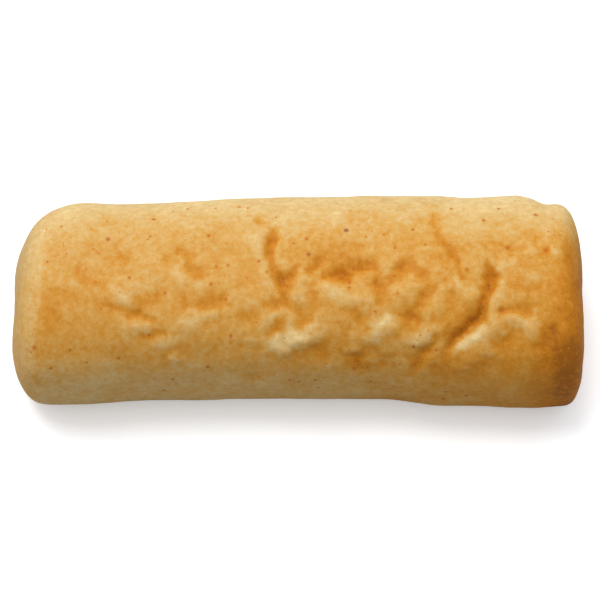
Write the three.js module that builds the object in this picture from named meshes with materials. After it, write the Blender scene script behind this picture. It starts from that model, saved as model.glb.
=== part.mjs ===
// A soft, log-shaped bread roll, baked as one piece, so one closed solid.
// Millimetres. x runs along the roll, -Y is its front, +Z is up.
// The origin is under the middle of the roll, on the surface that it stands on.
import * as THREE from "three";
import { mergeVertices } from "three/addons/utils/BufferGeometryUtils.js";

// ---------------------------------------------------------------- driving dimensions

const LENGTH = 165;
const WIDTH = 60;
const HEIGHT = 44;
const AXIS_HEIGHT = 17; // the widest line, which both ends close on
const LOW_REACH = 24; // how far under the axis the dough would reach with no surface there
const BASE_DROP = 17.3; // the surface stops it this far under the axis

// Superellipse powers: 2 is an ellipse, more is squarer.
const DOME_POWER = 2.35;
const BELLY_POWER = 2.5;
const FILLET_POWER = 9; // how tightly the belly turns into the flat base

// Each end's tip, and how long and how square its rounding is at the crown, front, base and back.
// The left end was pressed against the next roll in the tray, so it is blunter.
const LEFT_END = { tip: 0.6 - LENGTH / 2, depths: [12, 14, 6, 24], powers: [2.8, 4, 3.2, 2.45] };
const RIGHT_END = { tip: LENGTH / 2 - 0.1, depths: [12, 7.4, 7, 7.6], powers: [2.6, 4, 3.2, 3.6] };

// How far the back edge and the front edge stand out beyond the even width, along the roll.
const BACK_LINE = [
  [-83, -1.5], [-60, -1.4], [-45, -1.0], [-34, -0.5], [-17, 0.4], [10, 1.1], [50, 0.8], [62, 0.4],
  [68, -0.1], [71.8, -1.7], [75.5, -1.3], [83, -1.2],
];
const FRONT_LINE = [
  [-83, 0.3], [-62, -0.1], [-45, -1.2], [-18, -2.1], [17, -1.8], [27, -1.4], [36, -0.3], [52, 0.1],
  [66, 0.9], [76, 0.3], [83, 0],
];

// Broad pushes that shape the corners and sink the dents of the crust.
const PUSHES = [
  { at: [-82, -17, 14], radius: 13, move: [-2, 0, 0] },
  { at: [-82, 10, 20], radius: 10, move: [-1.8, 0, 0] },
  { at: [-76, -26, 6], radius: 7, move: [0.3, 0, 0] },
  { at: [79, 27, 24], radius: 9, move: [-0.4, -1.4, 0] },
  { at: [82, -9, 22], radius: 9, move: [-1.2, 0, 0] },
  { at: [-7, 3, 44], radius: 5, move: [0, 0, -1.4] },
  { at: [-4, -8, 43], radius: 5, move: [0, 0, -1.6] },
  { at: [0, -16, 41], radius: 5, move: [0, 0.3, -1.3] },
  { at: [9, -5, 43.8], radius: 5, move: [0, 0, -1.8] },
  { at: [18, -3, 44], radius: 5, move: [0, 0, -1.8] },
  { at: [31, -16, 41], radius: 5, move: [0, 0.3, -1.2] },
  { at: [44, 3, 44], radius: 5, move: [0, 0, -1.4] },
  { at: [53, -6, 43.5], radius: 5, move: [0, 0, -1.9] },
  { at: [50, -17, 40.5], radius: 5, move: [0, 0.4, -1.4] },
  { at: [60, -14, 41.5], radius: 5, move: [0, 0.2, -1.2] },
  { at: [-42, -11, 42.5], radius: 6, move: [0, 0, -1.2] },
];

const AROUND = 60; // facets round the section
const CAP_RINGS = 9; // rings on each rounded end
const BODY_RINGS = 40; // rings between them

const CRUST = { color: 0xc98f4a, roughness: 0.72, metalness: 0 };

// ---------------------------------------------------------------- the form

// Radius of the cross-section from the axis, at an angle from the crown towards the front.
function sectionRadius(angle) {
  const across = Math.abs(Math.sin(angle));
  const up = Math.cos(angle);
  const power = up > 0 ? DOME_POWER : BELLY_POWER;
  const reach = up > 0 ? HEIGHT - AXIS_HEIGHT : LOW_REACH;
  const sum = (across / (WIDTH / 2)) ** power + (Math.abs(up) / reach) ** power;
  const oval = sum ** (-1 / power);
  if (up > -0.01) return oval;
  const base = BASE_DROP / -up;
  return (oval ** -FILLET_POWER + base ** -FILLET_POWER) ** (-1 / FILLET_POWER);
}

// Blends the crown, front, base and back values round the section.
function bySide(angle, [crown, front, base, back]) {
  const up = Math.cos(angle);
  const forward = Math.sin(angle);
  const vertical = up > 0 ? crown : base;
  const sideways = forward > 0 ? front : back;
  return up ** 2 * vertical + forward ** 2 * sideways;
}

// Slope of a line of points at one of them, from its neighbours.
function slopeAt(points, i) {
  const [x0, y0] = points[Math.max(i - 1, 0)];
  const [x1, y1] = points[Math.min(i + 1, points.length - 1)];
  return (y1 - y0) / (x1 - x0);
}

// Height of a smooth curve through points at x, which keeps to the points' range.
function through(points, x) {
  const last = points.length - 2;
  const found = points.findIndex((point) => point[0] > x) - 1;
  const i = found < 0 ? (x < points[0][0] ? 0 : last) : Math.min(found, last);
  const [x0, y0] = points[i];
  const [x1, y1] = points[i + 1];
  const span = x1 - x0;
  const t = THREE.MathUtils.clamp((x - x0) / span, 0, 1);
  const ease = 3 * t ** 2 - 2 * t ** 3;
  const leave = (t - 2 * t ** 2 + t ** 3) * span * slopeAt(points, i);
  const arrive = (t ** 3 - t ** 2) * span * slopeAt(points, i + 1);
  return (1 - ease) * y0 + ease * y1 + leave + arrive;
}

// A point on an end's rounding. turn is 0 at the tip and a quarter turn where the body starts.
function onEnd(turn, angle, end) {
  const power = bySide(angle, end.powers);
  const inset = bySide(angle, end.depths) * (1 - Math.cos(turn) ** (2 / power));
  return { x: end.tip - Math.sign(end.tip) * inset, rho: Math.sin(turn) ** (2 / power) };
}

// Where a ring crosses an angle: its x, and rho, which is 1 on the body and 0 at a tip.
function along(ring, angle) {
  const quarter = Math.PI / 2;
  if (ring < CAP_RINGS) return onEnd((quarter * ring) / CAP_RINGS, angle, LEFT_END);
  const fromRight = 2 * CAP_RINGS + BODY_RINGS - ring;
  if (fromRight < CAP_RINGS) return onEnd((quarter * fromRight) / CAP_RINGS, angle, RIGHT_END);
  const share = (ring - CAP_RINGS) / BODY_RINGS;
  const left = LEFT_END.tip + bySide(angle, LEFT_END.depths);
  const right = RIGHT_END.tip - bySide(angle, RIGHT_END.depths);
  return { x: THREE.MathUtils.lerp(left, right, share), rho: 1 };
}

// The crust's point at a ring and an angle, with its pushes, cut off flat at the base.
function crustPoint(ring, angle) {
  const { x, rho } = along(ring, angle);
  const radius = rho * sectionRadius(angle);
  const forward = Math.sin(angle);
  const back = Math.max(-forward, 0) * through(BACK_LINE, x);
  const front = Math.max(forward, 0) * through(FRONT_LINE, x);
  const y = rho * (back - front) - radius * forward;
  const point = new THREE.Vector3(x, y, AXIS_HEIGHT + radius * Math.cos(angle));
  for (const push of PUSHES) {
    const distance = point.distanceTo(new THREE.Vector3(...push.at));
    const strength = Math.exp(-((distance / push.radius) ** 2));
    point.addScaledVector(new THREE.Vector3(...push.move), strength);
  }
  point.z = Math.max(point.z, 0);
  return point;
}

// ---------------------------------------------------------------- the solid

// A sphere's grid laid over the crust, with its poles at the two tips, joined along its seam.
function rollGeometry() {
  const rings = 2 * CAP_RINGS + BODY_RINGS;
  const sphere = new THREE.SphereGeometry(1, AROUND, rings);
  const position = sphere.getAttribute("position");
  const uv = sphere.getAttribute("uv");
  for (let i = 0; i < position.count; i += 1) {
    const ring = Math.round(uv.getY(i) * rings);
    const point = crustPoint(ring, 2 * Math.PI * uv.getX(i));
    position.setXYZ(i, point.x, point.y, point.z);
  }
  sphere.deleteAttribute("normal");
  sphere.deleteAttribute("uv");
  const geometry = mergeVertices(sphere);
  geometry.computeBoundingBox();
  const centre = geometry.boundingBox.getCenter(new THREE.Vector3());
  geometry.translate(-centre.x, -centre.y, -geometry.boundingBox.min.z);
  geometry.computeVertexNormals();
  return geometry;
}

const roll = new THREE.Mesh(rollGeometry(), new THREE.MeshStandardMaterial(CRUST));
roll.name = "bread_roll";

const part = new THREE.Group();
part.add(roll);

export default part;
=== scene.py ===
"""Looks of a soft, log-shaped bread roll: one closed crust, sculpted stroke by stroke, in baked dough.

The form repeats the CAD solid's description, in millimetres, and is then fitted to that solid's box, so
the two share one size and one frame. x runs along the roll, -Y is the front, +Z is up, and the roll stands
on z = 0. Places on the crust are given as (x, s): x along the roll and s round it from the crown, positive
towards the front, both in mm.
"""
import math

import bpy
import numpy as np
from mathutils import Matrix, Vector


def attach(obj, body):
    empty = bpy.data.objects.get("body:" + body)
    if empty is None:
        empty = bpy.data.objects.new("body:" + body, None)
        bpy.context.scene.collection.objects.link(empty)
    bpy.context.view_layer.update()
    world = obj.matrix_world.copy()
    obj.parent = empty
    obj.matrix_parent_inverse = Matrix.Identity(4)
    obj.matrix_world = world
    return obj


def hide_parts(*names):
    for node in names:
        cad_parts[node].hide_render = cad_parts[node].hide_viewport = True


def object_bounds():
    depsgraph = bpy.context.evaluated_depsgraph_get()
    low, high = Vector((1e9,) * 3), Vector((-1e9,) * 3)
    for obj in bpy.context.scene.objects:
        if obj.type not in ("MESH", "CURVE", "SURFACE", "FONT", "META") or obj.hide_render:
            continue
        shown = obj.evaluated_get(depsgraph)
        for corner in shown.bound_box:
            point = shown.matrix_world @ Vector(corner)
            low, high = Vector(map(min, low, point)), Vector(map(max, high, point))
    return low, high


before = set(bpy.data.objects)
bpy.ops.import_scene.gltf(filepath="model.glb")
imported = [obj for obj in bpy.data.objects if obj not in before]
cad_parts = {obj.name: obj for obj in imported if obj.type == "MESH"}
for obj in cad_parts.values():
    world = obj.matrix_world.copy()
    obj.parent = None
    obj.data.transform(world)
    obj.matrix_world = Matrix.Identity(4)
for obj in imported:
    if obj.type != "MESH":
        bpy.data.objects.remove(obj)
cad_low, cad_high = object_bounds()

NODE = "bread_roll"
TINY = 1e-6    # keeps a division off zero

# ================================================================ the smooth form

HALF = 82.5            # half the length between the two tips
HALF_WIDTH = 30.0
HEIGHT = 43.0          # of the smooth crown, before its lumps add about 1 mm
AXIS_Z = 17.0          # height of the widest line, which both ends close on
LOW_REACH = 24.0       # how far under the axis the dough would reach with no surface there
BASE_DROP = 17.3       # the surface stops it this far under the axis

# Superellipse powers: 2 is an ellipse, more is squarer.
DOME_POWER = 2.35
BELLY_POWER = 2.5
FILLET_POWER = 9.0     # how tightly the belly turns into the flat base

# Each end's tip, and how long and how square its rounding is at the crown, front, base and back.
LEFT_END = {"tip": 0.6 - HALF, "depths": (12, 14, 6, 24), "powers": (2.8, 4.0, 3.2, 2.45)}
RIGHT_END = {"tip": HALF - 0.1, "depths": (12, 7.4, 7, 7.6), "powers": (2.6, 4.0, 3.2, 3.6)}

# How far the back edge and the front edge stand out beyond the even width, along the roll.
BACK_LINE = [(-83, -1.5), (-60, -1.4), (-45, -1.0), (-34, -0.5), (-17, 0.4), (10, 1.1), (50, 0.8),
             (62, 0.4), (68, -0.1), (71.8, -1.7), (75.5, -1.3), (83, -1.2)]
FRONT_LINE = [(-83, 0.3), (-62, -0.1), (-45, -1.2), (-18, -2.1), (17, -1.8), (27, -1.4), (36, -0.3),
              (52, 0.1), (66, 0.9), (76, 0.3), (83, 0.0)]

# Broad pushes on the corners: centre, radius, move.
PUSHES = [((-82, -17, 14), 13, (-2.0, 0, 0)),
          ((-82, 10, 20), 10, (-1.8, 0, 0)),
          ((-76, -26, 6), 7, (0.3, 0, 0)),
          ((79, 27, 24), 9, (-0.4, -1.4, 0)),
          ((82, -9, 22), 9, (-1.2, 0, 0))]


def section_radius(angle):
    """Radius of the cross-section from the axis, at an angle from the crown towards the front."""
    across = np.abs(np.sin(angle))
    up = np.cos(angle)
    power = np.where(up > 0, DOME_POWER, BELLY_POWER)
    reach = np.where(up > 0, HEIGHT - AXIS_Z, LOW_REACH)
    oval = ((across / HALF_WIDTH) ** power + (np.abs(up) / reach) ** power) ** (-1 / power)
    base = BASE_DROP / np.maximum(-up, TINY)
    return (oval ** -FILLET_POWER + base ** -FILLET_POWER) ** (-1 / FILLET_POWER)


def by_side(angle, values):
    """Blends the crown, front, base and back values round the section."""
    crown, front, base, back = values
    up = np.cos(angle)
    forward = np.sin(angle)
    return up ** 2 * np.where(up > 0, crown, base) + forward ** 2 * np.where(forward > 0, front, back)


def through(points, x):
    """Height of a smooth curve through points at x, which keeps to the points' range."""
    px, py = np.array(points, float).T
    slope = np.gradient(py, px)
    x = np.clip(x, px[0], px[-1])
    i = np.clip(np.searchsorted(px, x) - 1, 0, len(px) - 2)
    span = px[i + 1] - px[i]
    t = (x - px[i]) / span
    ease = 3 * t ** 2 - 2 * t ** 3
    leave = (t - 2 * t ** 2 + t ** 3) * span * slope[i]
    arrive = (t ** 3 - t ** 2) * span * slope[i + 1]
    return (1 - ease) * py[i] + ease * py[i + 1] + leave + arrive


def on_end(turn, angle, end):
    """x and rho on an end's rounding; turn is 0 at the tip and a quarter turn where the body starts."""
    power = by_side(angle, end["powers"])
    out = np.sin(turn)
    inward = np.cos(turn)
    radius = (out ** power + inward ** power) ** (-1 / power)
    inset = by_side(angle, end["depths"]) * (1 - radius * inward)
    return end["tip"] - np.sign(end["tip"]) * inset, radius * out


def smooth_point(x, rho, angle):
    """Point of the smooth form; rho is 1 on the body and falls to 0 at a tip."""
    radius = rho * section_radius(angle)
    forward = np.sin(angle)
    back_lean = np.maximum(-forward, 0) * through(BACK_LINE, x)
    front_lean = np.maximum(forward, 0) * through(FRONT_LINE, x)
    y = rho * (back_lean - front_lean) - radius * forward
    point = np.stack([x + 0 * radius, y, AXIS_Z + radius * np.cos(angle)], -1)
    for centre, size, move in PUSHES:
        strength = np.exp(-((point - centre) ** 2).sum(-1) / size ** 2)
        point = point + strength[..., None] * np.array(move, float)
    return point


# ---------------------------------------------------------------- places on the crust

SECTION_STEPS = 8000    # steps round the section that lengths along it are measured in

angles = np.linspace(-np.pi, np.pi, SECTION_STEPS + 1)
rim = section_radius(angles)[:, None] * np.stack([np.sin(angles), np.cos(angles)], -1)
arc = np.concatenate([[0], np.cumsum(np.hypot(*np.diff(rim, axis=0).T))])
arc -= np.interp(0, angles, arc)


def on_crust(x, s):
    """The smooth form's point at x along the roll and s round it from the crown."""
    x, s = np.broadcast_arrays(np.asarray(x, float), np.asarray(s, float))
    angle = np.interp(s, arc, angles)
    rho = np.ones_like(x)
    for end in (LEFT_END, RIGHT_END):
        depth = by_side(angle, end["depths"])
        power = by_side(angle, end["powers"])
        to_tip = np.abs(end["tip"]) - x * np.sign(end["tip"])
        past = np.clip(1 - to_tip / depth, 0, 1)
        rho = rho * (1 - past ** power) ** (1 / power)
    return smooth_point(x, rho, angle)


# ================================================================ the grid

PATCH_HIGH = 78                   # cells of an end's patch from the base to the crown
PATCH_WIDE = 64                   # and from back to front; the rings run round the patch
PATCH_TURN = math.radians(34)     # where an end's patch gives way to its rings
CAP_RINGS = 34
BODY_RINGS = 246
BASE_DENSITY = 0.5                # how dense the grid is underneath, against the top
DENSE_REACH = 55                  # how far round from the crown it is as dense as on top
DENSITY_BLUR = 400                # steps of the section that the change is spread over, each way


def disc_grid():
    """A square grid bent into a disc: where its points are, their numbers, and those on its rim."""
    high = np.linspace(-1, 1, PATCH_HIGH + 1)
    wide = np.linspace(-1, 1, PATCH_WIDE + 1)
    u, v = np.meshgrid(high, wide, indexing="ij")
    disc = np.stack([u * np.sqrt(1 - v ** 2 / 2), v * np.sqrt(1 - u ** 2 / 2)], -1)
    index = np.arange(u.size).reshape(u.shape)
    sides = [index[-1, :-1], index[::-1, -1][:-1], index[0, ::-1][:-1], index[:-1, 0]]
    return disc.reshape(-1, 2), index, np.concatenate(sides)


def spread_angle(turn):
    """Turns an even angle into one round the section, with fewer steps on the base."""
    density = np.where(np.abs(arc) < DENSE_REACH, 1.0, BASE_DENSITY)
    window = np.ones(2 * DENSITY_BLUR + 1) / (2 * DENSITY_BLUR + 1)
    density = np.convolve(np.pad(density, DENSITY_BLUR, "wrap"), window, "valid")
    count = np.concatenate([[0], np.cumsum(density[1:] * np.diff(arc))])
    even_angle = count / count[-1] * 2 * np.pi - np.pi
    return np.interp(turn, even_angle, angles)


def ring_places(ring_angle):
    """x and rho of every ring, from the left end's patch to the right end's."""
    turns = np.linspace(PATCH_TURN, np.pi / 2, CAP_RINGS + 1)
    left = [on_end(turn, ring_angle, LEFT_END) for turn in turns]
    right = [on_end(turn, ring_angle, RIGHT_END) for turn in turns[::-1]]
    start = left[-1][0]
    stop = right[0][0]
    shares = np.linspace(0, 1, BODY_RINGS + 1)[1:-1]
    body = [((1 - share) * start + share * stop, np.ones_like(start)) for share in shares]
    return left + body + right


def band_faces(first, count):
    """Faces between a ring and the next one, where the ring's first point is number first."""
    here = first + np.arange(count)
    step = first + (np.arange(count) + 1) % count
    return np.stack([here, step, step + count, here + count], -1)


def roll_grid():
    """The smooth roll's points, and its faces as rows of four points, facing out."""
    disc, index, rim_order = disc_grid()
    disc_turn = np.arctan2(disc[:, 1], disc[:, 0])
    disc_radius = np.hypot(*disc.T)
    disc_angle = spread_angle(disc_turn)
    ring_angle = spread_angle(disc_turn[rim_order])
    count = len(rim_order)
    rings = [smooth_point(x, rho, ring_angle) for x, rho in ring_places(ring_angle)]
    points = [np.concatenate(rings)]
    faces = [band_faces(ring * count, count) for ring in range(len(rings) - 1)]

    inner = np.setdiff1d(np.arange(len(disc)), rim_order)
    total = len(rings) * count
    for end, ring, order in ((LEFT_END, 0, -1), (RIGHT_END, len(rings) - 1, 1)):
        x, rho = on_end(disc_radius[inner] * PATCH_TURN, disc_angle[inner], end)
        points.append(smooth_point(x, rho, disc_angle[inner]))
        number = np.empty(len(disc), int)
        number[rim_order] = ring * count + np.arange(count)
        number[inner] = total + np.arange(len(inner))
        total += len(inner)
        corners = [index[:-1, :-1], index[1:, :-1], index[1:, 1:], index[:-1, 1:]]
        patch = np.stack([number[corner].ravel() for corner in corners], -1)
        faces.append(patch[:, ::order])
    return np.concatenate(points), np.concatenate(faces)


def normals_of(points, faces):
    """Outward unit normals at the points."""
    a, b, c, d = (points[faces[:, k]] for k in range(4))
    face_normal = np.cross(c - a, d - b)
    total = np.zeros_like(points)
    for k in range(4):
        for axis in range(3):
            total[:, axis] += np.bincount(faces[:, k], face_normal[:, axis], len(points))
    return total / np.linalg.norm(total, axis=1, keepdims=True)


def smoothed(values, faces, rounds):
    """Values spread over their neighbours, a number of times."""
    pairs = np.concatenate([faces[:, [k, (k + 1) % 4]] for k in range(4)])
    share = np.bincount(pairs.ravel(), minlength=len(values))
    for _ in range(rounds):
        total = np.bincount(pairs[:, 0], values[pairs[:, 1]], len(values))
        total += np.bincount(pairs[:, 1], values[pairs[:, 0]], len(values))
        values = 0.5 * values + 0.5 * total / share
    return values


# ================================================================ noise

def lattice_value(cell, seed):
    """A repeatable value from -1 to 1 for a whole-number cell; the large primes scramble its bits."""
    x, y, z = (cell[..., k].astype(np.int64) for k in range(3))
    mixed = (x * 73856093) ^ (y * 19349663) ^ (z * 83492791) ^ (seed * 2654435761)
    mixed = ((mixed ^ (mixed >> 13)) * 1274126177) & 0xFFFFFFFF
    mixed = ((mixed ^ (mixed >> 16)) * 2246822519) & 0xFFFFFFFF
    return (mixed & 0xFFFF) / 32767.5 - 1


def noise(points, size, seed):
    """Smooth noise from -1 to 1, whose lumps are about size mm apart."""
    place = points / size
    cell = np.floor(place)
    t = place - cell
    t = t ** 3 * (t * (6 * t - 15) + 10)
    value = 0
    for dx in (0, 1):
        for dy in (0, 1):
            for dz in (0, 1):
                weight = ((t[:, 0] if dx else 1 - t[:, 0]) * (t[:, 1] if dy else 1 - t[:, 1])
                          * (t[:, 2] if dz else 1 - t[:, 2]))
                value = value + weight * lattice_value(cell + (dx, dy, dz), seed)
    return value


def layered_noise(points, layers):
    """The sum of layers of noise, each given by its spacing in mm, its height and its seed."""
    return sum(size * noise(points, spacing, seed) for spacing, size, seed in layers)


# ================================================================ strokes

PEAKED, ROUND = 1.8, 2.0      # the profiles of tight folds and of soft strokes
STROKE_REACH = 2.6            # half-widths of its soft side out to which a stroke is worked out
LEAST_SOFT = 1.4              # how soft that side is taken to be, at least

# How far the crust's points are moved about, so that strokes on them get uneven edges: spacing,
# distance and a seed for each axis.
SWAYS = [(6.0, 0.7, (31, 37, 41)), (2.0, 0.45, (43, 47, 49))]


def smoothstep(low, high, value):
    """Rises from 0 at low to 1 at high; low may be the larger one."""
    t = np.clip((value - low) / (high - low), 0, 1)
    return t * t * (3 - 2 * t)


def place_round(points):
    """s, the way round the crust from the crown, at each point."""
    return np.interp(np.arctan2(-points[:, 1], points[:, 2] - AXIS_Z), angles, arc)


def unsettled(points):
    """The points, moved about a little."""
    sway = 0
    for spacing, distance, seeds in SWAYS:
        sway = sway + distance * np.stack([noise(points, spacing, seed) for seed in seeds], -1)
    return points + sway


def stroke_strength(points, route, power, soft=1.0):
    """How strongly a stroke works at each point: height * exp(-(distance / width) ** power).

    route is a list of (x, s, width, height), all in mm. soft is how many times wider the stroke is on the
    right of someone who walks along it.
    """
    route = np.array(route if len(route) > 1 else route * 2, float)
    knots = on_crust(route[:, 0], route[:, 1])
    reach = STROKE_REACH * route[:, 2].max() * max(soft, LEAST_SOFT)
    near = ((points > knots.min(0) - reach) & (points < knots.max(0) + reach)).all(1)
    index = np.flatnonzero(near)
    spot = points[index]
    spot_x = spot[:, 0]
    spot_s = place_round(spot)
    best = np.full(len(index), np.inf)
    value = np.zeros(len(index))
    for start, stop, first, last in zip(knots[:-1], knots[1:], route[:-1], route[1:]):
        way = stop - start
        t = np.clip((spot - start) @ way / max(way @ way, TINY), 0, 1)
        distance = np.linalg.norm(spot - start - t[:, None] * way, axis=1)
        width = first[2] + t * (last[2] - first[2])
        height = first[3] + t * (last[3] - first[3])
        along_x, along_s = last[:2] - first[:2]
        aside = along_x * (spot_s - first[1]) - along_s * (spot_x - first[0])
        aside = aside / max(math.hypot(along_x, along_s), TINY)
        ratio = distance / (width * (1 + (soft - 1) * smoothstep(-1, 1, aside / width)))
        closer = ratio < best
        best = np.where(closer, ratio, best)
        value = np.where(closer, height * np.exp(-ratio ** power), value)
    total = np.zeros(len(points))
    total[index] = value
    return total


# ================================================================ the crust's relief

# Tight folds: how much softer one side is, then a route of (x, s, half-width, height).
FOLDS = [
    # the forked crease near the middle: stem, right branch
    (1.2, [(-7.4, -10.4, 1.7, -0.40), (-7.8, -7.4, 1.9, -1.10), (-8.5, -3.0, 1.4, -1.30),
           (-8.2, 0.2, 1.0, -0.90), (-7.0, 3.0, 1.2, -0.95), (-5.4, 5.8, 1.6, -1.20),
           (-4.4, 8.0, 1.5, -1.30), (-4.2, 10.4, 1.0, -1.00), (-4.3, 12.8, 0.9, -0.40)]),
    (1.0, [(-4.2, 6.6, 1.6, -0.70), (-2.6, 4.0, 1.4, -0.90), (-1.3, 2.0, 1.2, -0.70),
           (-0.1, 0.2, 0.9, -0.20)]),
    # the long crease on the right, from the crown down to the front
    (1.35, [(53.4, -1.0, 0.8, -0.30), (53.9, 1.4, 1.2, -1.10), (54.1, 4.2, 1.6, -1.70),
            (53.8, 7.2, 1.7, -1.85), (53.0, 10.4, 1.4, -1.60), (52.2, 13.6, 1.3, -1.60),
            (51.0, 16.6, 1.5, -1.60), (48.8, 19.2, 1.5, -1.50), (46.4, 21.1, 1.4, -1.35),
            (44.4, 23.0, 1.3, -1.10), (42.4, 25.2, 1.2, -0.80), (40.4, 27.4, 1.1, -0.25)]),
    (1.0, [(55.4, 4.2, 1.1, -0.40), (57.2, 4.6, 0.9, -0.25)]),
    # short slanted folds
    (1.0, [(7.4, -3.2, 1.1, -0.23), (5.2, -0.4, 1.6, -0.70), (3.2, 2.6, 1.3, -0.31)]),
    (1.6, [(38.4, 23.2, 1.1, -0.23), (35.8, 26.2, 1.5, -0.78), (33.8, 29.6, 1.6, -0.86),
           (32.6, 33.4, 1.2, -0.23)]),
    (1.4, [(-54.5, 12.6, 1.2, -0.25), (-50.0, 14.6, 1.5, -0.65), (-46.0, 15.9, 1.5, -0.90),
           (-41.6, 17.8, 1.2, -0.40)]),
    (1.4, [(-66.6, -1.4, 1.3, -0.14), (-63.2, 2.6, 1.8, -0.36), (-60.2, 5.6, 1.5, -0.25)]),
    (1.4, [(-45.4, 23.2, 1.4, -0.25), (-42.0, 22.2, 1.5, -0.60), (-38.6, 21.8, 1.3, -0.30)]),
    # the hooked crease near the right end
    (1.0, [(56.4, 14.4, 1.0, -0.75), (58.6, 13.4, 1.3, -0.45), (61.4, 13.2, 1.6, -0.42),
           (64.4, 14.4, 1.7, -0.65)]),
    (1.0, [(72.2, 17.0, 1.5, -0.25), (70.8, 19.6, 1.9, -0.55), (68.0, 23.0, 1.8, -0.20)]),
    # the scar on the back, a torn line with a small triangle
    (1.4, [(38.8, -16.4, 1.3, -0.12), (38.2, -12.0, 1.5, -0.26), (39.4, -8.0, 1.3, -0.22),
           (41.2, -5.2, 1.1, -0.28), (43.4, -3.2, 1.6, -0.55), (44.8, -0.8, 0.9, -0.35),
           (45.3, 2.8, 0.7, -0.22), (46.2, 4.8, 0.6, -0.12)]),
    # a small tear near the right end
    (1.0, [(69.4, -3.0, 1.0, -0.31), (70.4, -4.6, 1.1, -0.55)]),
]

# Soft dents, where the dough sank: routes of (x, s, half-width, height).
DENTS = [
    # below the forked crease, and the slope on the left of the long crease
    [(-9.4, 14.0, 1.9, -0.40), (-6.8, 13.4, 2.1, -0.75), (-4.8, 12.8, 1.6, -0.40)],
    [(47.4, 16.4, 2.9, -0.65), (43.4, 20.0, 2.7, -0.60)],
    [(-8.0, 21.6, 2.0, -0.25), (-5.6, 19.6, 2.2, -0.30)],
    [(-0.8, 15.2, 2.7, -0.72), (1.0, 17.4, 3.1, -0.86)],
    # hollows of the crumpled crown
    [(8.0, 4.6, 2.4, -0.80), (12.4, 2.8, 3.2, -1.80), (16.8, 1.0, 3.2, -1.80), (20.2, 0.6, 2.6, -0.90)],
    [(21.4, 4.8, 2.2, -0.50), (22.8, 7.6, 2.5, -0.90), (22.6, 10.4, 1.8, -0.45)],
    [(34.2, 3.6, 2.2, -0.35), (31.6, 0.8, 2.3, -0.65), (28.6, 2.2, 2.4, -0.90), (26.6, 4.8, 2.1, -0.80)],
    [(36.6, 8.0, 2.0, -0.35), (35.6, 11.0, 2.5, -0.65), (34.4, 13.6, 2.0, -0.45)],
    [(28.6, 16.4, 2.2, -0.58), (31.0, 16.4, 2.7, -0.94), (33.4, 17.4, 2.0, -0.58)],
    [(17.2, 17.6, 2.1, -0.43), (18.4, 20.4, 1.9, -0.36)],
    # low on the front
    [(16.6, 30.4, 3.4, -0.50), (18.2, 33.0, 2.7, -0.36)],
    [(5.6, 28.0, 3.1, -0.43)],
    [(-14.0, 37.4, 3.1, -0.29)],
    [(24.4, 31.0, 2.2, -0.29)],
    [(20.4, 41.5, 2.7, -0.29)],
    # below the hooked crease
    [(57.0, 22.4, 2.5, -0.36)],
    [(61.0, 20.0, 2.7, -0.22)],
    # shallow hollows on the left
    [(-26.6, 12.6, 2.7, -0.50), (-22.4, 12.2, 2.7, -0.65)],
    [(-15.6, 17.7, 2.2, -0.36), (-12.4, 17.0, 2.2, -0.43)],
    [(-26.2, 19.4, 2.0, -0.20)],
    [(-31.0, 2.0, 2.2, -0.29), (-27.8, 3.4, 2.2, -0.43)],
    [(-52.2, -3.4, 2.8, -0.29), (-49.8, -0.6, 2.6, -0.36)],
    [(-39.6, -3.6, 1.6, -0.29), (-37.0, -0.2, 2.2, -0.58)],
    [(-34.2, -4.3, 2.1, -0.36), (-31.4, -2.9, 1.9, -0.29)],
    [(-44.8, 12.3, 2.7, -0.43), (-40.0, 11.0, 2.7, -0.50)],
    [(-33.2, 11.4, 1.9, -0.20), (-32.2, 13.8, 1.9, -0.20)],
    [(-69.0, 9.2, 2.0, -0.14), (-65.0, 9.6, 1.9, -0.14)],
    [(-11.7, -14.0, 2.4, -0.22)],
    [(-18.0, 26.0, 3.4, -0.22)],
]

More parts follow.
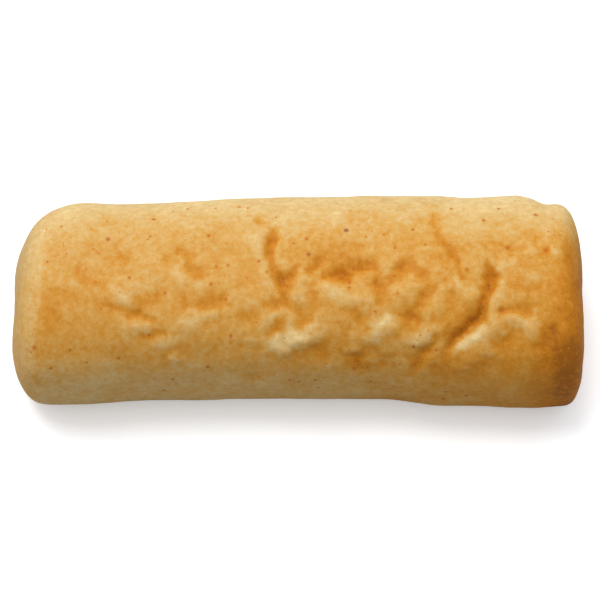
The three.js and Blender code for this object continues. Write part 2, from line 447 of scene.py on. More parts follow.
# Soft swellings, such as the lips pushed up beside the folds.
BUMPS = [
    # the back edge, on both sides of its notch
    [(48.0, -38.0, 9.0, -0.25), (60.0, -38.0, 8.0, 0.10)],
    [(64.5, -36.0, 3.6, 0.60)],
    [(75.5, -36.0, 4.0, 0.40)],
    # round the forked crease, and the bright lips below and beside it
    [(-12.6, -7.4, 2.2, 0.29)],
    [(-11.6, -4.0, 2.5, 0.22), (-11.4, 2.0, 2.7, 0.29), (-9.0, 7.4, 2.9, 0.36)],
    [(-5.0, -4.0, 2.2, 0.29), (-4.4, 1.0, 1.9, 0.36)],
    [(0.4, 4.6, 2.2, 0.36), (-0.6, 9.6, 2.2, 0.36)],
    [(-9.6, 18.4, 1.5, 0.12), (-7.0, 16.8, 1.5, 0.24), (-4.6, 15.2, 1.4, 0.16)],
    [(-8.2, 27.4, 2.8, 0.36), (-4.8, 26.2, 3.0, 0.68), (-1.0, 24.4, 3.0, 0.68), (3.2, 22.6, 2.5, 0.36)],
    [(3.4, 6.4, 2.4, 0.22), (8.0, 9.4, 3.0, 0.45), (13.0, 10.8, 3.0, 0.50), (18.0, 11.4, 2.6, 0.35)],
    [(26.0, 18.0, 2.5, 0.48), (25.2, 20.2, 2.6, 0.68), (22.6, 22.6, 2.5, 0.46), (19.6, 24.2, 2.1, 0.22)],
    # between the forked crease and the long crease
    [(30.0, 7.6, 2.9, 0.43), (27.6, 11.0, 2.7, 0.43)],
    [(39.0, 4.0, 3.4, 0.29), (44.4, 7.2, 3.4, 0.58), (46.6, 10.4, 2.9, 0.50)],
    [(39.6, 13.6, 3.1, 0.43), (37.6, 17.4, 2.9, 0.43)],
    [(32.4, 23.0, 2.5, 0.58), (35.8, 21.8, 2.5, 0.65), (39.4, 19.6, 2.2, 0.36)],
    [(48.4, 13.6, 3.1, 0.65), (45.0, 17.2, 3.1, 0.65), (41.6, 20.6, 2.5, 0.29)],
    # right of the long crease, its bright lower lip, and below it
    [(58.8, 6.6, 3.4, 0.25), (57.0, 11.0, 2.9, 0.25), (56.0, 16.0, 3.0, 0.40)],
    [(55.2, 20.4, 3.0, 0.40), (53.4, 24.8, 3.6, 0.75), (49.2, 28.2, 3.2, 0.60), (45.2, 31.0, 2.5, 0.30)],
    [(58.8, 16.2, 1.7, 0.24), (62.6, 17.4, 2.0, 0.38), (65.6, 19.2, 2.0, 0.36), (67.6, 21.4, 1.6, 0.18)],
    [(37.6, 28.6, 2.0, 0.29), (35.8, 32.0, 2.0, 0.22)],
    # beside the small tear near the right end
    [(66.4, -3.6, 1.7, 0.25)],
    [(72.6, -3.6, 1.7, 0.22)],
    [(71.0, -10.6, 2.0, 0.22)],
    # on the left
    [(-48.4, 18.4, 2.0, 0.25), (-44.0, 19.4, 2.0, 0.38)],
    [(-53.6, 6.2, 1.6, 0.14), (-52.0, 9.8, 1.7, 0.18)],
    [(-62.0, 7.0, 2.4, 0.14), (-58.4, 8.8, 2.4, 0.22)],
    [(-41.2, -3.2, 1.6, 0.22), (-39.2, 0.4, 1.6, 0.22)],
    [(-40.4, 24.7, 2.0, 0.30), (-37.4, 25.0, 2.0, 0.34)],
    [(-35.3, 30.2, 1.9, 0.36)],
    [(-32.4, 18.6, 2.6, 0.22), (-29.4, 18.4, 2.4, 0.20)],
    [(-26.0, 16.0, 2.1, 0.29), (-22.0, 15.4, 2.1, 0.29)],
    [(-33.0, 6.6, 2.8, 0.29), (-28.6, 7.4, 2.6, 0.29)],
]

# Layers of noise: spacing, height and seed.
LUMPS = [(24.0, 0.5, 3), (10.0, 0.26, 5), (5.0, 0.11, 11), (2.4, 0.035, 17), (1.2, 0.014, 23)]
FOLD_CHANGES = [(4.0, 0.5, 83), (1.8, 0.25, 89)]      # shares by which strokes deepen and fade
CRUMPLES = [(9.0, 0.68, 71), (5.0, 0.38, 73), (2.6, 0.13, 79)]

# A crumple's profile: rounded off in the valleys, and lowered so that it neither adds nor takes dough.
CRUMPLE_ROUNDING = 0.15
CRUMPLE_MEAN = 0.35

# Where the crust is crumpled, as starts and ends in mm: round it, along it, and where it grows stronger.
CRUMPLED_BACK, CRUMPLED_FRONT = (-13, -2), (33, 24)
CRUMPLED_LEFT, CRUMPLED_RIGHT = (-74, -60), (79, 68)
CRUMPLE_GROWTH = (-34, 4)
CRUMPLE_LEAST = 0.35      # its share left of there
CRUMPLE_EDGE = (12, 3.0, 81)      # noise that makes its edges uneven

BASE_LUMPS = 0.25         # share of the lumps that the base keeps
BASE_FREE = (2.0, 9.0)    # heights over which the lumps get their full size


def crumpled(points):
    """How crumpled the crust is, from 0 on the smooth sides to 1 on the right of the crown."""
    x = points[:, 0]
    s = place_round(points) + layered_noise(points, [CRUMPLE_EDGE])
    across = smoothstep(*CRUMPLED_BACK, s) * smoothstep(*CRUMPLED_FRONT, s)
    along = smoothstep(*CRUMPLED_LEFT, x) * smoothstep(*CRUMPLED_RIGHT, x)
    growth = CRUMPLE_LEAST + (1 - CRUMPLE_LEAST) * smoothstep(*CRUMPLE_GROWTH, x)
    return across * along * growth


def crumple_height(points):
    """Round lumps with tight valleys between them, as dough has where it shrank."""
    height = 0
    for spacing, size, seed in CRUMPLES:
        lump = np.hypot(noise(points, spacing, seed), CRUMPLE_ROUNDING)
        height = height + size * (lump - CRUMPLE_MEAN)
    return height


def sculpted_height(points):
    """How far folds, dents and lumps move the crust from the smooth form, in mm.

    The folds' edges sway half as much as the other strokes' do.
    """
    swayed = unsettled(points)
    strokes = np.zeros(len(points))
    for soft, route in FOLDS:
        strokes += stroke_strength((points + swayed) / 2, route, PEAKED, soft)
    for route in DENTS + BUMPS:
        strokes += stroke_strength(swayed, route, ROUND)
    strokes *= 1 + layered_noise(points, FOLD_CHANGES)
    lumps = layered_noise(points, LUMPS) + crumpled(points) * crumple_height(swayed)
    return strokes + lumps * (BASE_LUMPS + (1 - BASE_LUMPS) * smoothstep(*BASE_FREE, points[:, 2]))


def fitted_to_cad(points):
    """The points in metres, stretched to the CAD solid's box."""
    low, high = points.min(0), points.max(0)
    share = (points - low) / (high - low)
    return np.array(cad_low) + share * (np.array(cad_high) - np.array(cad_low))


def crust_points():
    """The sculpted crust's points, with the base kept flat."""
    points = smooth_points + normals_of(smooth_points, faces) * height[:, None]
    points[:, 2] = np.maximum(points[:, 2], 0)
    return fitted_to_cad(points)


smooth_points, faces = roll_grid()
height = sculpted_height(smooth_points)

# ================================================================ what the crust is painted with

# Broad changes of baking, two of them partly painted light: amount, then where it starts and is full,
# along x and round s, in mm. None means everywhere.
BACK_TONE = 0.12
BROAD_TONES = [
    # paler at the back: less baked, and partly a painted sheen from the light behind
    (0.36, None, (-30, 0)),        # browner from the back up to the crown
    (-0.15, None, (26, 40)),       # paler low on the front
    (0.05, (-30, 20), None),       # browner towards the right
    (0.02, (44, 70), None),
    # partly painted shade: darker low on the right of the front
    (0.18, (0, 60), (20, 34)),     # browner low on the right of the front
    (-0.08, (30, 60), (-8, -22)),  # paler on the right of the back
]
TONE_EDGE = (9, 2.0, 50)          # noise that makes their edges round the roll uneven
TONE_NOISE = [(14, 0.06, 51), (5, 0.05, 53), (2.2, 0.03, 57)]
EVEN_TONE = 0.44                  # of the base and of the right end's face
EVEN_BASE = (52, 66)              # how far round from the crown the base's tone starts and is full
EVEN_END = (76, 82)

# Hollows are painted browner and crests paler: partly the crust's own baking, partly painted shade in the
# hollows and painted highlight on the crests. Rounds of smoothing that give the surroundings, the tone
# for each mm above them, and the lowest and highest mm that count.
RELIEF_BAKE_AND_SHADE = [(90, -0.30, -0.8, 0.28), (8, -1.0, -0.1, 0.03)]

# Beyond this tone, only a share of each further change counts, so that deep creases stay orange.
DEEP_TONE = 0.66
DEEP_SHARE = 0.4

# The right end, browner and partly painted shade where it turns away from the light: where it starts at the
# back and front, and how much it adds there.
RIGHT_BACK = {"start": 74, "tone": 0.26}
RIGHT_FRONT = {"start": 65, "tone": 0.38}
RIGHT_FULL = 83
RIGHT_SIDES = (12, -18)           # y of the back value and of the front value
RIGHT_SLANT = 0.16                # how much its edge leans with y
RIGHT_EDGE = (7, 1.5, 59)

# The pale left end: x of its edge at s, noise on the edge, and its tone and blur, front and back.
PALE_EDGE = [(-87, -75), (-55, -71), (-30, -70), (-18, -71), (-9, -72), (5, -73), (18, -74.2),
             (25, -74.9), (31, -75.7), (38, -76.6), (50, -77.5), (87, -75)]
PALE_EDGE_NOISE = [(5, 0.5, 61), (1.6, 0.2, 63)]
PALE_TONE = 0.36
PALE_NOISE = (6, 0.04, 67)
PALE_BACK_TONE = (-8, 8, -0.10)   # y where the change starts and is full, and the change
PALE_BLUR = 0.7
PALE_BACK_BLUR = (-6, 12, 2.5)

# Patches more baked (positive) or paler (negative) than their surroundings, some partly painted light:
# shade in creases and hollows and on the slope left of the long crease, highlight on the pale crests.
# Routes of (x, s, width, amount).
STAINS_AND_PAINTED_LIGHT = [
    # the forked crease, browner and partly painted shade in its groove: stem, fork, right branch
    [(-7.8, -9.6, 2.1, 0.20), (-7.9, -6.6, 2.1, 0.30), (-8.6, -2.6, 1.4, 0.30), (-8.0, 0.6, 1.2, 0.12)],
    [(-7.0, 2.6, 1.4, 0.12), (-5.2, 5.6, 1.9, 0.25), (-4.3, 7.8, 1.8, 0.28), (-4.2, 10.4, 1.1, 0.18),
     (-4.2, 12.4, 1.0, 0.10)],
    [(-3.6, 5.8, 1.5, 0.18), (-2.0, 3.0, 1.3, 0.20), (-0.4, 0.6, 0.9, 0.10)],
    # hollows in the middle: browner, and partly painted shade
    [(-9.0, 13.8, 1.7, 0.07), (-6.4, 13.2, 1.9, 0.15)],
    [(0.0, 15.4, 2.8, 0.06), (0.8, 18.0, 2.8, 0.12)],
    [(-7.6, 21.6, 1.7, 0.07), (-5.6, 19.4, 1.7, 0.10)],
    [(7.0, -2.6, 1.4, 0.12), (5.0, -0.2, 1.7, 0.18), (3.4, 2.4, 1.5, 0.10)],
    [(8.0, 5.0, 2.4, 0.16), (12.6, 3.0, 3.4, 0.28), (17.0, 0.8, 3.6, 0.28), (20.4, 0.0, 2.8, 0.18)],
    [(22.0, 5.4, 2.2, 0.18), (22.8, 8.6, 2.4, 0.22)],
    [(34.4, 3.6, 2.0, 0.14), (31.4, 1.0, 2.3, 0.24), (28.0, 2.6, 2.1, 0.24), (26.6, 5.0, 1.8, 0.22)],
    [(36.2, 8.0, 1.4, 0.12), (35.6, 11.0, 1.7, 0.18), (34.6, 13.2, 1.6, 0.15)],
    [(29.0, 16.6, 2.4, 0.14), (31.6, 17.2, 2.8, 0.20), (34.0, 18.6, 1.9, 0.08)],
    # the long crease, browner, and painted shade on the soft slope on its left
    [(53.5, 0.6, 0.9, 0.22), (54.0, 3.6, 1.7, 0.34), (53.5, 6.8, 1.8, 0.36), (52.4, 10.2, 1.4, 0.28),
     (51.2, 13.4, 1.3, 0.26), (49.6, 16.4, 1.4, 0.26), (46.9, 18.8, 1.4, 0.26), (44.2, 21.1, 1.3, 0.22),
     (41.6, 24.4, 1.0, 0.14)],
    [(50.0, 13.8, 2.6, 0.22), (45.8, 17.4, 2.8, 0.30), (42.0, 20.8, 2.3, 0.20)],
    [(55.6, 4.2, 1.2, 0.18), (57.2, 4.6, 0.9, 0.10)],
    # the scar
    [(38.4, -20.5, 2.6, 0.20), (39.0, -16.6, 2.6, 0.18), (38.8, -12.0, 2.0, 0.18),
     (39.8, -7.6, 1.8, 0.14), (41.4, -5.0, 1.5, 0.16), (43.4, -3.2, 1.9, 0.24), (44.8, -1.0, 1.1, 0.16),
     (45.4, 3.0, 0.9, 0.10)],
    [(29.0, -20.5, 2.4, 0.15)],
    [(-11.9, -14.2, 1.9, 0.12)],
    # round the right end
    [(56.8, 14.0, 1.0, 0.20), (60.0, 13.2, 1.5, 0.10), (63.8, 14.4, 1.5, 0.18)],
    [(71.0, 19.2, 1.7, 0.14), (68.6, 22.4, 1.9, 0.08)],
    [(70.2, -4.2, 1.1, 0.25)],
    [(60.4, 6.0, 2.6, 0.10), (64.0, 8.0, 4.0, 0.12)],
    [(76.0, -2.5, 2.8, 0.15)],
    # mottles low on the front
    [(37.0, 24.6, 1.5, 0.06), (34.4, 28.4, 2.1, 0.11), (33.0, 32.6, 2.1, 0.09)],
    [(17.0, 31.6, 3.6, 0.26)],
    [(5.6, 29.6, 3.4, 0.10)],
    [(-14.2, 37.2, 3.2, 0.09)],
    [(24.2, 31.6, 2.4, 0.07)],
    [(-76.0, 36.0, 1.9, 0.16), (-73.4, 38.0, 1.7, 0.06)],
    # hollows on the left: browner, and partly painted shade
    [(-71.0, 14.0, 3.4, 0.10), (-70.6, 19.0, 3.2, 0.10)],
    [(-70.0, 9.2, 1.8, 0.06), (-64.0, 9.2, 2.2, 0.10)],
    [(-61.0, 5.0, 1.5, 0.08), (-58.4, 6.2, 1.5, 0.12)],
    [(-46.4, 12.2, 2.0, 0.08), (-40.4, 11.6, 2.2, 0.14)],
    [(-27.0, 12.6, 2.0, 0.12), (-23.0, 12.8, 2.2, 0.14)],
    [(-44.6, 22.8, 1.5, 0.10), (-39.6, 22.6, 1.3, 0.08)],
    [(-33.0, -3.4, 1.6, 0.10), (-29.6, 3.0, 2.2, 0.14)],
    [(-33.0, 13.2, 1.8, 0.08)],
    [(-48.0, 15.0, 1.2, 0.06), (-42.0, 17.2, 1.3, 0.10)],
    [(-51.0, -2.0, 2.6, 0.12)],
    [(-37.4, -0.8, 1.9, 0.15)],
    [(-63.2, 2.6, 1.9, 0.12)],
    # pale crests: less baked, and partly painted highlight on facets that face the light
    [(-32.6, 17.6, 2.4, -0.07), (-28.6, 17.4, 2.2, -0.06)],
    [(-29.6, 7.4, 1.6, -0.12)],
    [(-38.6, -1.6, 1.0, -0.10), (-34.8, 4.0, 1.4, -0.12)],
    [(-43.0, 7.4, 2.0, -0.10)],
    [(-24.0, 17.6, 2.2, -0.08), (-18.0, 19.4, 2.2, -0.06)],
    [(-53.6, 7.6, 1.2, -0.08), (-50.4, 9.0, 1.4, -0.08)],
    [(-7.0, 25.4, 2.2, -0.26), (-4.2, 24.2, 2.4, -0.38), (-0.8, 22.2, 2.3, -0.30),
     (3.0, 20.6, 1.9, -0.12)],
    [(24.6, 17.0, 2.2, -0.40), (22.0, 20.8, 2.0, -0.20)],
    [(51.4, 19.2, 1.6, -0.30), (49.8, 21.4, 2.3, -0.44), (46.6, 23.4, 2.0, -0.42),
     (43.6, 25.6, 1.5, -0.28)],
    [(3.6, 6.0, 1.6, -0.08), (8.0, 8.6, 2.3, -0.10), (14.0, 10.2, 2.4, -0.08)],
    [(-12.6, -7.4, 2.2, -0.07)],
    [(44.6, 7.2, 2.6, -0.15)],
    [(32.2, 22.6, 2.2, -0.15), (35.6, 21.4, 1.7, -0.12)],
    [(62.6, 16.4, 1.7, -0.07), (66.2, 19.0, 1.7, -0.06)],
    [(-7.0, 16.8, 1.2, -0.06)],
    [(66.6, -3.4, 1.4, -0.15)],
    [(72.6, -3.6, 1.6, -0.15)],
    [(70.0, -13.0, 4.3, -0.10)],
]

# Specks in the crust: (x, s, radius, tone), the tone from orange at 0 through red-brown to dark at 1.
SPECKS = [
    (-54.7, -8.3, 0.62, 0.6), (-58.7, -4.7, 0.42, 0.2), (-57.3, -3.4, 0.36, 0.3), (-71.6, -0.3, 0.4, 0.4),
    (-60.7, 1.7, 0.4, 0.2), (-57.8, 6.0, 0.5, 0.3), (-48.2, 4.7, 0.46, 0.6), (-38.1, 9.5, 0.46, 0.5),
    (-56.1, 14.0, 0.36, 0.4), (-42.0, -16.6, 0.5, 0.5), (-42.6, -9.3, 0.36, 0.3),
    (-72.5, -12.6, 0.3, 0.3),
    (-68.3, -13.0, 0.36, 0.4), (-75.0, 25.0, 0.5, 0.5), (-64.9, 25.6, 0.42, 0.5),
    (-60.4, 29.7, 0.36, 0.5),
    (-70.5, 31.2, 0.4, 0.7), (-51.3, 29.0, 0.5, 0.5), (-42.6, 22.2, 0.4, 0.6), (-26.2, 33.2, 0.5, 0.6),
    (-36.4, 38.8, 0.46, 0.6), (-39.2, 45.7, 0.5, 0.5), (-26.0, -9.0, 0.5, 0.5), (-17.5, -21.0, 0.62, 0.1),
    (-24.3, -20.7, 0.42, 0.2), (-15.0, -20.3, 0.46, 0.1), (-20.3, 0.7, 0.5, 0.3), (-23.7, 1.0, 0.42, 0.4),
    (-11.6, -0.6, 0.46, 0.5), (-9.3, 3.0, 0.42, 0.3), (-15.0, 5.0, 0.52, 0.2), (-25.1, 7.0, 0.5, 0.5),
    (-20.9, 11.7, 0.46, 0.4), (-19.5, 22.8, 0.52, 0.5), (13.3, -10.4, 0.6, 1.0), (2.5, -2.8, 0.62, 0.7),
    (2.0, -7.7, 0.5, 0.5), (-1.7, -6.3, 0.4, 0.4), (12.1, 0.0, 0.42, 0.4), (14.1, 6.0, 0.5, 0.6),
    (14.1, 8.0, 0.4, 0.6), (21.4, 15.5, 0.5, 0.4), (24.0, -9.0, 0.46, 0.2), (18.9, -8.3, 0.42, 0.2),
    (27.1, -4.7, 0.42, 0.4), (32.4, -10.7, 0.46, 0.5), (35.8, -5.6, 0.4, 0.4), (27.6, 9.8, 0.42, 0.3),
    (52.8, -14.1, 0.56, 0.4), (43.7, -19.0, 0.46, 0.4), (57.5, -19.8, 0.46, 0.6), (59.2, -4.7, 0.66, 0.6),
    (68.0, -17.5, 0.6, 0.5), (70.0, -4.0, 0.6, 0.5), (47.4, 2.3, 0.56, 0.4), (46.0, 4.7, 0.5, 0.3),
    (26.8, 4.3, 0.5, 0.5), (42.0, 42.0, 0.46, 0.6), (41.5, 47.0, 0.5, 0.6), (48.0, 44.0, 0.5, 0.6),
    (77.0, 34.0, 0.56, 0.6), (75.6, 38.0, 0.56, 0.6), (20.3, 40.5, 0.5, 0.6), (15.5, 34.0, 0.42, 0.6),
    (-2.8, 39.3, 0.5, 0.5), (-0.3, 40.4, 0.46, 0.5), (4.5, 39.3, 0.5, 0.5), (5.4, 44.0, 0.46, 0.5),
    (32.2, 25.0, 0.42, 0.8), (38.6, 25.5, 0.46, 0.5), (-55.4, -15.6, 0.3, 0.3), (-32.5, -21.5, 0.4, 0.4),
    (-36.6, -20.4, 0.34, 0.5), (57.0, 13.8, 0.6, 0.6),
]
SPECK_SCALE = 1.1           # what the radii above are drawn at
RANDOM_SPECKS = 420
SMALLEST_SPECK = 0.16       # radius of a random speck, in mm
SPECK_GROWTH = 0.2          # what the largest ones have on top
RANDOM_TONE = 0.5           # the darkest tone of a random speck
SPECK_REACH = 1.6           # mm from a speck's centre that its pattern is drawn in
NO_SPECK = 9.0              # the offset stored where there is none near


def broad_tone(x, s):
    """The baking before relief, stains and ends, with a painted sheen on the back and painted shade low on
    the right of the front.
    """
    amount = BACK_TONE
    for change, along, around in BROAD_TONES:
        share = smoothstep(*along, x) if along else 1
        if around:
            share = share * smoothstep(*around, s)
        amount = amount + change * share
    return amount


def relief_bake_and_shade():
    """What hollows and crests change: their baking, with painted shade in the hollows and painted highlight
    on the crests.
    """
    amount = 0
    for rounds, tone, lowest, highest in RELIEF_BAKE_AND_SHADE:
        amount = amount + tone * np.clip(height - smoothed(height, faces, rounds), lowest, highest)
    return amount


def right_end_browning_and_shade(x, y):
    """What the right end adds: browning, and painted shade where it turns away from the light."""
    front = smoothstep(*RIGHT_SIDES, y)
    start = RIGHT_BACK["start"] + front * (RIGHT_FRONT["start"] - RIGHT_BACK["start"])
    tone = RIGHT_BACK["tone"] + front * (RIGHT_FRONT["tone"] - RIGHT_BACK["tone"])
    place = x - RIGHT_SLANT * y + layered_noise(smooth_points, [RIGHT_EDGE])
    return tone * smoothstep(start, RIGHT_FULL, place)


def with_pale_left_end(amount, x, y, s):
    """The baking, with the left end in its own pale tone."""
    edge = through(PALE_EDGE, s) + layered_noise(smooth_points, PALE_EDGE_NOISE)
    blur = PALE_BLUR + PALE_BACK_BLUR[2] * smoothstep(*PALE_BACK_BLUR[:2], y)
    tone = PALE_TONE + PALE_BACK_TONE[2] * smoothstep(*PALE_BACK_TONE[:2], y)
    tone = tone + layered_noise(smooth_points, [PALE_NOISE])
    return amount + (tone - amount) * smoothstep(blur, -blur, x - edge)


def baking_and_painted_light():
    """How far the crust is baked at each point, from pale dough at 0 to dark brown at 1, with painted shade
    and highlight among the tones.
    """
    x, y = smooth_points[:, 0], smooth_points[:, 1]
    s = place_round(smooth_points)
    even = np.maximum(smoothstep(*EVEN_BASE, np.abs(s)), smoothstep(*EVEN_END, x))
    s = s + layered_noise(smooth_points, [TONE_EDGE])
    amount = broad_tone(x, s)
    amount += (EVEN_TONE - amount) * even
    amount += layered_noise(smooth_points, TONE_NOISE) + relief_bake_and_shade()
    swayed = unsettled(smooth_points)
    for route in STAINS_AND_PAINTED_LIGHT:
        amount += stroke_strength(swayed, route, ROUND)
    amount -= (1 - DEEP_SHARE) * np.maximum(amount - DEEP_TONE, 0)
    # browning and painted shade on the right end, where it turns away from the light
    amount += right_end_browning_and_shade(x, y)
    return np.clip(with_pale_left_end(amount, x, y, s), 0, 1)


def all_specks():
    """Centre, radius and tone of every speck, the listed ones and the scattered ones."""
    draw = np.random.default_rng(7)
    known = np.array(SPECKS)
    scattered = smooth_points[draw.integers(0, len(smooth_points), RANDOM_SPECKS)]
    small = SMALLEST_SPECK + SPECK_GROWTH * draw.random(RANDOM_SPECKS) ** 2
    tones = RANDOM_TONE * draw.random(RANDOM_SPECKS)
    centres = np.concatenate([on_crust(known[:, 0], known[:, 1]), scattered])
    return centres, np.concatenate([SPECK_SCALE * known[:, 2], small]), np.concatenate([known[:, 3], tones])


def speck_pattern():
    """Each point's offset from the nearest speck, over that speck's radius, its distance and its tone."""
    offset = np.full((len(smooth_points), 3), NO_SPECK)
    nearest = np.full(len(smooth_points), SPECK_REACH)
    shade = np.zeros(len(smooth_points))
    for place, size, tone in zip(*all_specks()):
        index = np.flatnonzero((np.abs(smooth_points - place) < SPECK_REACH).all(1))
        away = smooth_points[index] - place
        distance = np.linalg.norm(away, axis=1)
        closer = distance < nearest[index]
        index, away = index[closer], away[closer]
        nearest[index] = distance[closer]
        offset[index] = away / size
        shade[index] = tone
    return offset, nearest, shade


def crust_mesh():
    mesh = bpy.data.meshes.new("crust")
    mesh.from_pydata(crust_points().tolist(), [], faces.tolist())
    mesh.polygons.foreach_set("use_smooth", np.ones(len(faces), bool))
    offset, gap, tone = speck_pattern()
    for name, values in (("bake_and_painted_light", baking_and_painted_light()), ("speck_gap", gap), ("speck_tone", tone)):
        mesh.attributes.new(name, "FLOAT", "POINT").data.foreach_set("value", values)
    offsets = mesh.attributes.new("speck_offset", "FLOAT_VECTOR", "POINT")
    offsets.data.foreach_set("vector", offset.ravel())
    mesh.update()
    return mesh


# ================================================================ the crust's material

BAKE_COLOURS = [(0.00, (0.88, 0.67, 0.32)), (0.25, (0.74, 0.50, 0.20)), (0.45, (0.70, 0.375, 0.085)),
                (0.62, (0.655, 0.28, 0.028)), (0.80, (0.58, 0.205, 0.008)), (1.00, (0.38, 0.125, 0.008))]
SPECK_COLOURS = [(0.0, (0.72, 0.28, 0.004)), (0.5, (0.56, 0.15, 0.008)), (1.0, (0.31, 0.09, 0.05))]

# Grains per metre, and detail, of the noises in the crust.
BAKE_GRAIN = {"scale": 560, "detail": 3, "roughness": 0.8}
SPECK_GRAIN = {"scale": 2400, "detail": 1}
PORES = {"scale": 800, "detail": 3}
FINE_PORES = {"scale": 2600, "detail": 2}
BAKE_GRAIN_TONE = 0.66      # how much the grain changes the baking
SPECK_GRAIN_SIZE = 0.9      # how ragged it makes a speck, in radii
FINE_PORE_SHARE = 0.4
PORE_STRENGTH = 0.09
PORE_DEPTH = 0.0004

SPECK_EDGE = (1.5, 0.4)     # radii at which a speck starts and is full
SPECK_OPACITY = 0.9
SPECK_LIMIT = (1.3, 1.0)    # mm at which its pattern starts and is full


def node(tree, kind, **settings):
    """A new node in a tree, with its settings."""
    made = tree.nodes.new(kind)
    for name, value in settings.items():
        setattr(made, name, value)
    return made


def attribute(tree, name, output="Fac"):
    """What a vertex attribute of the crust holds."""
    return node(tree, "ShaderNodeAttribute", attribute_name=name).outputs[output]


def colour_ramp(tree, stops, fac):
    """A colour between stops of (position, colour)."""
    made = node(tree, "ShaderNodeValToRGB")
    elements = made.color_ramp.elements
    while len(elements) < len(stops):
        elements.new(0.5)
    for element, (position, colour) in zip(elements, stops):
        element.position = position
        element.color = (*colour, 1)
    tree.links.new(fac, made.inputs["Fac"])
    return made.outputs["Color"]


def grain(tree, place, scale, detail, roughness=0.6):
    """Noise from 0 to 1 over the crust."""
    made = node(tree, "ShaderNodeTexNoise")
    made.inputs["Scale"].default_value = scale
    made.inputs["Detail"].default_value = detail
    made.inputs["Roughness"].default_value = roughness
    tree.links.new(place, made.inputs["Vector"])
    return made.outputs["Fac"]


def sum_of(tree, first, second, factor, middle=0.0):
    """first + factor * (second - middle)."""
    scaled = node(tree, "ShaderNodeMath", operation="MULTIPLY_ADD")
    tree.links.new(second, scaled.inputs[0])
    scaled.inputs[1].default_value = factor
    scaled.inputs[2].default_value = -factor * middle
    total = node(tree, "ShaderNodeMath", operation="ADD")
    tree.links.new(first, total.inputs[0])
    tree.links.new(scaled.outputs[0], total.inputs[1])
    return total.outputs[0]


def range_of(tree, value, none, full, most=1.0):
    """Rises smoothly from 0, where the value is none, to most, where it is full."""
    made = node(tree, "ShaderNodeMapRange", interpolation_type="SMOOTHSTEP")
    made.inputs["From Min"].default_value = none
    made.inputs["From Max"].default_value = full
    made.inputs["To Max"].default_value = most
    tree.links.new(value, made.inputs["Value"])
    return made.outputs["Result"]


def speck_mask(tree, place):
    """How much a speck covers the crust: nothing outside it, with a ragged edge."""
    distance = node(tree, "ShaderNodeVectorMath", operation="LENGTH")
    tree.links.new(attribute(tree, "speck_offset", "Vector"), distance.inputs[0])
    rough = grain(tree, place, **SPECK_GRAIN)
    ragged = sum_of(tree, distance.outputs["Value"], rough, SPECK_GRAIN_SIZE, 0.5)
    inside = node(tree, "ShaderNodeMath", operation="MULTIPLY")
    tree.links.new(range_of(tree, ragged, *SPECK_EDGE, SPECK_OPACITY), inside.inputs[0])
    tree.links.new(range_of(tree, attribute(tree, "speck_gap"), *SPECK_LIMIT), inside.inputs[1])
    return inside.outputs[0]


def crust_colour(tree, place):
    """The baked dough's colour, with its specks, and with painted shade and highlight among its tones."""
    bake_and_painted_light = sum_of(tree, attribute(tree, "bake_and_painted_light"), grain(tree, place, **BAKE_GRAIN), BAKE_GRAIN_TONE, 0.5)
    mix = node(tree, "ShaderNodeMix", data_type="RGBA")
    tree.links.new(speck_mask(tree, place), mix.inputs["Factor"])
    tree.links.new(colour_ramp(tree, BAKE_COLOURS, bake_and_painted_light), mix.inputs["A"])
    tree.links.new(colour_ramp(tree, SPECK_COLOURS, attribute(tree, "speck_tone")), mix.inputs["B"])
    return mix.outputs["Result"]


def crust_pores(tree, place):
    """The normal, roughened by the crust's fine pores."""
    bump = node(tree, "ShaderNodeBump")
    bump.inputs["Strength"].default_value = PORE_STRENGTH
    bump.inputs["Distance"].default_value = PORE_DEPTH
    relief = sum_of(tree, grain(tree, place, **PORES), grain(tree, place, **FINE_PORES), FINE_PORE_SHARE)
    tree.links.new(relief, bump.inputs["Height"])
    return bump.outputs["Normal"]


def crust_material():
    material = bpy.data.materials.new("baked_crust")
    material.use_nodes = True
    tree = material.node_tree
    tree.nodes.clear()
    place = node(tree, "ShaderNodeTexCoord").outputs["Object"]
    shader = node(tree, "ShaderNodeBsdfPrincipled")
    shader.inputs["Roughness"].default_value = 0.6
    shader.inputs["Specular IOR Level"].default_value = 0.18
    shader.inputs["Subsurface Weight"].default_value = 0.12
    shader.inputs["Subsurface Radius"].default_value = (1.0, 0.45, 0.15)
    shader.inputs["Subsurface Scale"].default_value = 0.0012
    tree.links.new(crust_colour(tree, place), shader.inputs["Base Color"])
    tree.links.new(crust_pores(tree, place), shader.inputs["Normal"])
    output = node(tree, "ShaderNodeOutputMaterial")
    tree.links.new(shader.outputs["BSDF"], output.inputs["Surface"])
    return material


roll = bpy.data.objects.new("roll_crust", crust_mesh())
bpy.context.scene.collection.objects.link(roll)
roll.data.materials.append(crust_material())
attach(roll, "root")
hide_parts(NODE)

# ================================================================ floor, light and camera

FLOOR_SIZE = 6.0
FLOOR_DROP = 0.00005                          # just under the roll's base
FLOOR_TINT = (0.965, 0.98, 1.0)               # undoes the warmth that the roll throws on it
FLOOR_ALBEDO = 0.45
FLOOR_SEEN = 0.98
FLOOR_GLOW = 0.32                             # keeps the floor white in the picture and its shadow pale
KEY_DIRECTION = Vector((-0.22, 0.27, 0.93))   # towards the light
KEY_SPREAD = math.radians(26)
KEY_STRENGTH = 1.30
SKY_TOP = Vector((-0.1, 0.45, 0.9))           # the brightest part of the sky
SKY_BRIGHT = 0.88
SKY_DIM = 0.25
SKY_DIM_FROM = -0.2                           # cosine from the brightest part where it is dimmest
CAMERA_ELEVATION = math.radians(65)
CAMERA_DISTANCE = 0.7
CAMERA_AIM = Vector((0.0006, -0.0002, 0.019))
CAMERA_LENS = 144
CAMERA_SENSOR = 36


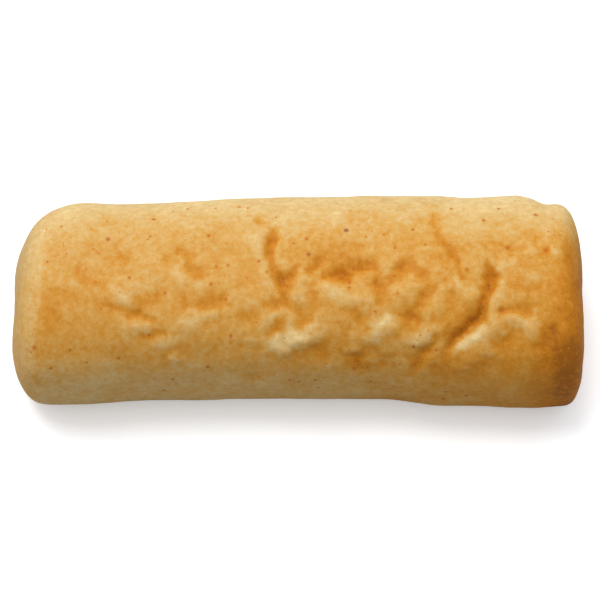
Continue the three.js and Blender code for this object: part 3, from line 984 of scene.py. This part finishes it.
def seen_by_camera(tree, kind, hidden, seen):
    """A value that differs between the picture and what the thing's light does."""
    mix = node(tree, "ShaderNodeMix", data_type=kind)
    tree.links.new(node(tree, "ShaderNodeLightPath").outputs["Is Camera Ray"], mix.inputs["Factor"])
    for name, value in (("A", hidden), ("B", seen)):
        if isinstance(value, bpy.types.NodeSocket):
            tree.links.new(value, mix.inputs[name])
        else:
            mix.inputs[name].default_value = value
    return mix.outputs["Result"]


def floor_material():
    """White in the picture, and pale enough in its light not to tint the roll."""
    material = bpy.data.materials.new("white_floor")
    material.use_nodes = True
    tree = material.node_tree
    shader = tree.nodes["Principled BSDF"]
    colours = [(*(albedo * tint for tint in FLOOR_TINT), 1) for albedo in (FLOOR_ALBEDO, FLOOR_SEEN)]
    tree.links.new(seen_by_camera(tree, "RGBA", *colours), shader.inputs["Base Color"])
    shader.inputs["Roughness"].default_value = 0.9
    shader.inputs["Specular IOR Level"].default_value = 0.1
    shader.inputs["Emission Color"].default_value = (1, 1, 1, 1)
    tree.links.new(seen_by_camera(tree, "FLOAT", 0, FLOOR_GLOW), shader.inputs["Emission Strength"])
    return material


def plain_floor():
    half = FLOOR_SIZE / 2
    corners = [(x, y, -FLOOR_DROP) for x, y in ((-half, -half), (half, -half), (half, half), (-half, half))]
    mesh = bpy.data.meshes.new("floor")
    mesh.from_pydata(corners, [], [(0, 1, 2, 3)])
    mesh.materials.append(floor_material())
    floor = bpy.data.objects.new("floor", mesh)
    bpy.context.scene.collection.objects.link(floor)


def key_light():
    light = bpy.data.lights.new("key", "SUN")
    light.angle = KEY_SPREAD
    light.energy = KEY_STRENGTH
    lamp = bpy.data.objects.new("key", light)
    lamp.rotation_euler = KEY_DIRECTION.to_track_quat("Z", "Y").to_euler()
    bpy.context.scene.collection.objects.link(lamp)


def studio_sky():
    """Plain white where the camera sees it; it lights things mostly from above and behind."""
    world = bpy.data.worlds.new("white_studio")
    world.use_nodes = True
    tree = world.node_tree
    background = tree.nodes["Background"]
    background.inputs["Color"].default_value = (1, 1, 1, 1)
    facing = node(tree, "ShaderNodeVectorMath", operation="DOT_PRODUCT")
    facing.inputs[1].default_value = SKY_TOP.normalized()
    tree.links.new(node(tree, "ShaderNodeTexCoord").outputs["Generated"], facing.inputs[0])
    glow = node(tree, "ShaderNodeMapRange", interpolation_type="SMOOTHSTEP")
    glow.inputs["From Min"].default_value = SKY_DIM_FROM
    glow.inputs["To Min"].default_value = SKY_DIM
    glow.inputs["To Max"].default_value = SKY_BRIGHT
    tree.links.new(facing.outputs["Value"], glow.inputs["Value"])
    strength = seen_by_camera(tree, "FLOAT", glow.outputs["Result"], 1)
    tree.links.new(strength, background.inputs["Strength"])
    bpy.context.scene.world = world


def front_camera():
    """A long lens that looks down on the roll's front."""
    back = Vector((0, -math.cos(CAMERA_ELEVATION), math.sin(CAMERA_ELEVATION)))
    lens = bpy.data.cameras.new("camera")
    lens.lens = CAMERA_LENS
    lens.sensor_width = CAMERA_SENSOR
    lens.clip_start = 0.01
    camera = bpy.data.objects.new("camera", lens)
    camera.location = CAMERA_AIM + back * CAMERA_DISTANCE
    camera.rotation_euler = back.to_track_quat("Z", "Y").to_euler()
    bpy.context.scene.collection.objects.link(camera)
    bpy.context.scene.camera = camera


plain_floor()
key_light()
studio_sky()
front_camera()
bpy.context.scene.view_settings.view_transform = "Standard"
